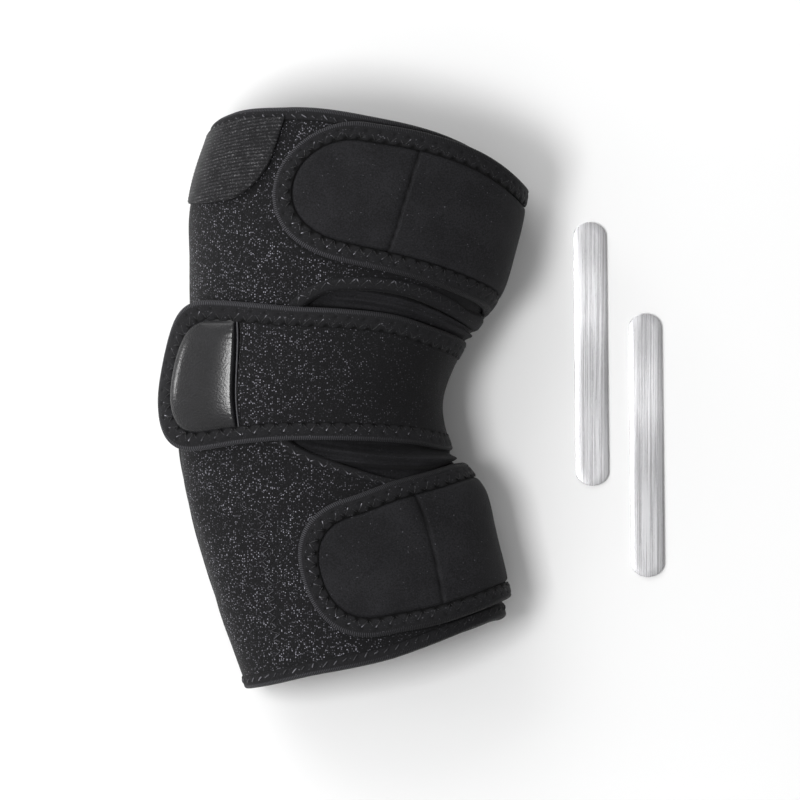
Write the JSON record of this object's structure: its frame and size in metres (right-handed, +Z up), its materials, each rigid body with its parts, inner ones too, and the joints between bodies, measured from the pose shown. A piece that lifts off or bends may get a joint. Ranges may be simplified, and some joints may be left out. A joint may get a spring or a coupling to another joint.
{
  "type": "elbow brace",
  "caption": "Black elbow brace: a padded wrap bent like an arm, open at the crook, with taped edges, round-ended straps, a padded pull tab, and loose flat metal stays beside it.",
  "frame": {"origin": "on the flat face that the brace rests on, under the elbow, midway between the wrap's two sides there", "axes": "+X to the crook of the elbow, +Y up along the upper arm, +Z up from the surface that it lies on"},
  "size_m": [0.2126, 0.2443, 0.0839],
  "materials": {
    "loop_cloth": "matte",
    "smooth_cloth": "matte",
    "edge_tape": "matte",
    "ribbed_cloth": "matte",
    "tab_leather": "glossy",
    "stay_metal": "brushed"
  },
  "bodies": {
    "root": {"wrap": "loop_cloth", "upper_rim_tape": "edge_tape", "lower_rim_tape": "edge_tape", "crook_tape_near": "edge_tape", "crook_tape_far": "edge_tape", "corner_patch": "ribbed_cloth", "upper_strap": "smooth_cloth", "upper_strap_tape": "edge_tape", "lower_strap": "smooth_cloth", "lower_strap_tape": "edge_tape", "middle_strap": "loop_cloth", "middle_strap_tape": "edge_tape", "pull_tab": "tab_leather", "stay_1": "stay_metal", "stay_2": "stay_metal"}
  },
  "joints": []
}
